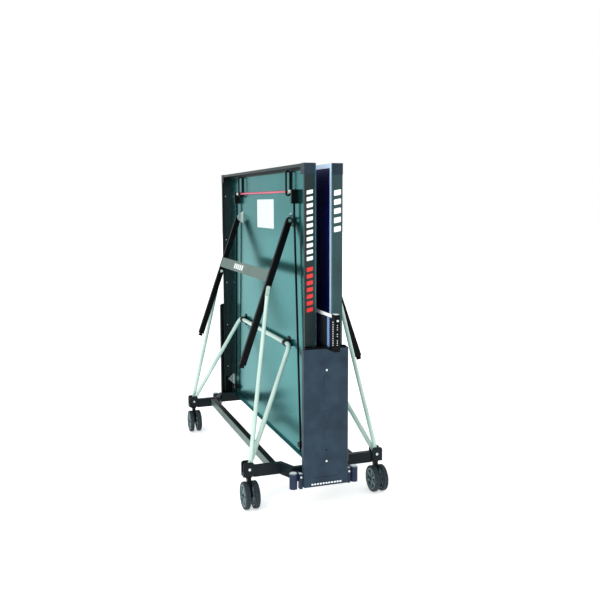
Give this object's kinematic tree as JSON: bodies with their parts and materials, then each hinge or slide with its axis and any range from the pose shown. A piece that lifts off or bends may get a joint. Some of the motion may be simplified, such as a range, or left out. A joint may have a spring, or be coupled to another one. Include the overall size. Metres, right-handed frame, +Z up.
{
  "type": "folding table tennis table",
  "caption": "Folding outdoor table tennis table, stored upright: two hinged halves, folding legs, braces and stays, net, and a chassis on twin-wheel casters.",
  "frame": {"origin": "on the floor, under the middle of the table, where the net line crosses the middle plane between the stored halves", "axes": "+Z up, +Y along the net towards the far side, +X from the left half towards the right half (playing direction)"},
  "size_m": [0.7128, 1.85, 1.5662],
  "materials": {
    "black_steel": "satin black powder coat",
    "charcoal_steel": "satin charcoal powder coat",
    "top_sheet": "satin blue playing surface, teal-grey underside",
    "black_plastic": "fine matte texture",
    "cover_plastic": "fine matte texture",
    "silver_tube": "silver-white powder coat",
    "zinc": "zinc plated",
    "crossbar_paint": "satin grey-green powder coat",
    "red_paint": "gloss red",
    "tyre_rubber": "matte rubber",
    "hub_plastic": "satin moulded nylon",
    "foot_rubber": "matte",
    "net_fabric": "knotted nylon mesh",
    "tape_fabric": "woven cotton tape",
    "bumper_plastic": "satin moulded plastic"
  },
  "bodies": {
    "root": {"near_arm": "black_steel", "far_arm": "black_steel", "long_bars": "charcoal_steel", "caster_blocks": "black_plastic", "chassis_bolts": "zinc", "near_column": "black_steel", "far_column": "black_steel", "near_side_cover": "cover_plastic", "far_side_cover": "cover_plastic", "bumpers": "bumper_plastic", "net_posts": "black_steel", "net": "net_fabric", "net_tape": "tape_fabric"},
    "left_carriage": {"left_slide_blocks": "black_plastic"},
    "left_half": {"left_top": "top_sheet", "left_frame": "charcoal_steel", "left_corner_caps": "black_plastic", "left_brackets": "zinc", "left_tube_guides": "black_plastic"},
    "left_brace": {"left_brace": "silver_tube"},
    "left_leg_frame": {"left_legs": "black_steel", "left_crossbar": "crossbar_paint", "left_feet": "foot_rubber"},
    "left_stays": {"left_stays": "silver_tube"},
    "left_release": {"left_release_bar": "red_paint", "left_lock_rods": "black_steel"},
    "right_carriage": {"right_slide_blocks": "black_plastic"},
    "right_half": {"right_top": "top_sheet", "right_frame": "charcoal_steel", "right_corner_caps": "black_plastic", "right_brackets": "zinc", "right_tube_guides": "black_plastic"},
    "right_brace": {"right_brace": "silver_tube"},
    "right_leg_frame": {"right_legs": "black_steel", "right_crossbar": "crossbar_paint", "right_feet": "foot_rubber"},
    "right_stays": {"right_stays": "silver_tube"},
    "right_release": {"right_release_bar": "red_paint", "right_lock_rods": "black_steel"},
    "near_left_caster": {"near_left_fork": "black_plastic"},
    "near_left_outer_wheel": {"near_left_outer_tyre": "tyre_rubber", "near_left_outer_hub": "hub_plastic"},
    "near_left_inner_wheel": {"near_left_inner_tyre": "tyre_rubber", "near_left_inner_hub": "hub_plastic"},
    "near_right_caster": {"near_right_fork": "black_plastic"},
    "near_right_outer_wheel": {"near_right_outer_tyre": "tyre_rubber", "near_right_outer_hub": "hub_plastic"},
    "near_right_inner_wheel": {"near_right_inner_tyre": "tyre_rubber", "near_right_inner_hub": "hub_plastic"},
    "far_left_caster": {"far_left_fork": "black_plastic"},
    "far_left_outer_wheel": {"far_left_outer_tyre": "tyre_rubber", "far_left_outer_hub": "hub_plastic"},
    "far_left_inner_wheel": {"far_left_inner_tyre": "tyre_rubber", "far_left_inner_hub": "hub_plastic"},
    "far_right_caster": {"far_right_fork": "black_plastic"},
    "far_right_outer_wheel": {"far_right_outer_tyre": "tyre_rubber", "far_right_outer_hub": "hub_plastic"},
    "far_right_inner_wheel": {"far_right_inner_tyre": "tyre_rubber", "far_right_inner_hub": "hub_plastic"}
  },
  "joints": [
    {"name": "left_lift", "type": "slide", "parent": "root", "child": "left_carriage", "axis": [0, 0, 1], "range_m": [0, 0.5075]},
    {"name": "left_fold", "type": "hinge", "parent": "left_carriage", "child": "left_half", "pos_m": [-0.048, 0, 0.2405], "axis": [0, -1, 0], "range_deg": [0, 90]},
    {"name": "left_brace_pivot", "type": "hinge", "parent": "left_half", "child": "left_brace", "pos_m": [-0.0593, 0, 0.70992], "axis": [0, -1, 0], "range_deg": [-44.14, 0]},
    {"name": "left_leg_pivot", "type": "hinge", "parent": "left_half", "child": "left_leg_frame", "pos_m": [-0.0625, 0, 1.311], "axis": [0, -1, 0], "range_deg": [-70.81, 0]},
    {"name": "left_stay_pivot", "type": "hinge", "parent": "left_leg_frame", "child": "left_stays", "pos_m": [-0.172, 0, 0.99652], "axis": [0, -1, 0], "range_deg": [0, 65.81]},
    {"name": "left_release_pull", "type": "slide", "parent": "left_half", "child": "left_release", "axis": [0, 0, 1], "range_m": [0, 0.025], "stiffness_N_per_m": 800, "springref_m": -0.03},
    {"name": "right_lift", "type": "slide", "parent": "root", "child": "right_carriage", "axis": [0, 0, 1], "range_m": [0, 0.5075]},
    {"name": "right_fold", "type": "hinge", "parent": "right_carriage", "child": "right_half", "pos_m": [0.048, 0, 0.2405], "axis": [0, 1, 0], "range_deg": [0, 90]},
    {"name": "right_brace_pivot", "type": "hinge", "parent": "right_half", "child": "right_brace", "pos_m": [0.0593, 0, 0.70992], "axis": [0, 1, 0], "range_deg": [-44.14, 0]},
    {"name": "right_leg_pivot", "type": "hinge", "parent": "right_half", "child": "right_leg_frame", "pos_m": [0.0625, 0, 1.311], "axis": [0, 1, 0], "range_deg": [-70.81, 0]},
    {"name": "right_stay_pivot", "type": "hinge", "parent": "right_leg_frame", "child": "right_stays", "pos_m": [0.172, 0, 0.99652], "axis": [0, 1, 0], "range_deg": [0, 65.81]},
    {"name": "right_release_pull", "type": "slide", "parent": "right_half", "child": "right_release", "axis": [0, 0, 1], "range_m": [0, 0.025], "stiffness_N_per_m": 800, "springref_m": -0.03},
    {"name": "near_left_swivel", "type": "hinge", "parent": "root", "child": "near_left_caster", "pos_m": [-0.32, -0.632, 0.0635], "axis": [0, 0, 1], "continuous": true},
    {"name": "near_left_outer_spin", "type": "hinge", "parent": "near_left_caster", "child": "near_left_outer_wheel", "pos_m": [-0.3425, -0.657, 0.0635], "axis": [1, 0, 0], "continuous": true},
    {"name": "near_left_inner_spin", "type": "hinge", "parent": "near_left_caster", "child": "near_left_inner_wheel", "pos_m": [-0.2975, -0.657, 0.0635], "axis": [1, 0, 0], "continuous": true},
    {"name": "near_right_swivel", "type": "hinge", "parent": "root", "child": "near_right_caster", "pos_m": [0.32, -0.632, 0.0635], "axis": [0, 0, 1], "continuous": true},
    {"name": "near_right_outer_spin", "type": "hinge", "parent": "near_right_caster", "child": "near_right_outer_wheel", "pos_m": [0.3425, -0.657, 0.0635], "axis": [1, 0, 0], "continuous": true},
    {"name": "near_right_inner_spin", "type": "hinge", "parent": "near_right_caster", "child": "near_right_inner_wheel", "pos_m": [0.2975, -0.657, 0.0635], "axis": [1, 0, 0], "continuous": true},
    {"name": "far_left_swivel", "type": "hinge", "parent": "root", "child": "far_left_caster", "pos_m": [-0.32, 0.632, 0.0635], "axis": [0, 0, 1], "continuous": true},
    {"name": "far_left_outer_spin", "type": "hinge", "parent": "far_left_caster", "child": "far_left_outer_wheel", "pos_m": [-0.3425, 0.607, 0.0635], "axis": [1, 0, 0], "continuous": true},
    {"name": "far_left_inner_spin", "type": "hinge", "parent": "far_left_caster", "child": "far_left_inner_wheel", "pos_m": [-0.2975, 0.607, 0.0635], "axis": [1, 0, 0], "continuous": true},
    {"name": "far_right_swivel", "type": "hinge", "parent": "root", "child": "far_right_caster", "pos_m": [0.32, 0.632, 0.0635], "axis": [0, 0, 1], "continuous": true},
    {"name": "far_right_outer_spin", "type": "hinge", "parent": "far_right_caster", "child": "far_right_outer_wheel", "pos_m": [0.3425, 0.607, 0.0635], "axis": [1, 0, 0], "continuous": true},
    {"name": "far_right_inner_spin", "type": "hinge", "parent": "far_right_caster", "child": "far_right_inner_wheel", "pos_m": [0.2975, 0.607, 0.0635], "axis": [1, 0, 0], "continuous": true}
  ],
  "couplings": [
    {"joint": "left_lift", "follows": "left_fold", "m_per_rad": 0.32308},
    {"joint": "left_brace_pivot", "follows": "left_fold", "ratio": -0.49031},
    {"joint": "left_leg_pivot", "follows": "left_fold", "ratio": -0.78669},
    {"joint": "left_stay_pivot", "follows": "left_fold", "ratio": 0.73107},
    {"joint": "right_lift", "follows": "right_fold", "m_per_rad": 0.32308},
    {"joint": "right_brace_pivot", "follows": "right_fold", "ratio": -0.49031},
    {"joint": "right_leg_pivot", "follows": "right_fold", "ratio": -0.78669},
    {"joint": "right_stay_pivot", "follows": "right_fold", "ratio": 0.73107}
  ]
}
